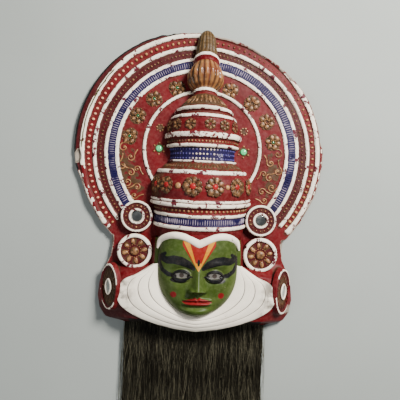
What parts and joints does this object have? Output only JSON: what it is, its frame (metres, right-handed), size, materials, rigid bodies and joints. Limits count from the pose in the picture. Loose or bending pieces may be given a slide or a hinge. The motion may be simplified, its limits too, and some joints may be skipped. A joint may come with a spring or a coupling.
{
  "type": "kathakali mask",
  "caption": "Painted papier-mache wall mask: tiered crown on a round ringed halo, green face, white jaw frame, round side ornaments and a fringe of dark fibre hair.",
  "frame": {"origin": "under the middle of the whole object, on the plane of its flat back", "axes": "+Y up the mask, from the hair to the finial; +X to the right as seen from the front; +Z out of the face"},
  "size_m": [0.4426, 0.7742, 0.0887],
  "materials": {
    "painted_body": "satin",
    "mirror_glass": "polished",
    "green_glass": "gloss",
    "fibre_hair": "matte"
  },
  "bodies": {
    "root": {"mask_body": "painted_body", "roundel_mirror_left": "mirror_glass", "roundel_mirror_right": "mirror_glass", "ear_mirror_left": "mirror_glass", "ear_mirror_right": "mirror_glass", "field_stone_left": "green_glass", "field_stone_right": "green_glass", "flower_stone_left_1": "green_glass", "flower_stone_left_2": "green_glass", "flower_stone_left_3": "green_glass", "flower_stone_left_4": "green_glass", "flower_stone_right_4": "green_glass", "hair_fringe": "fibre_hair"}
  },
  "joints": []
}
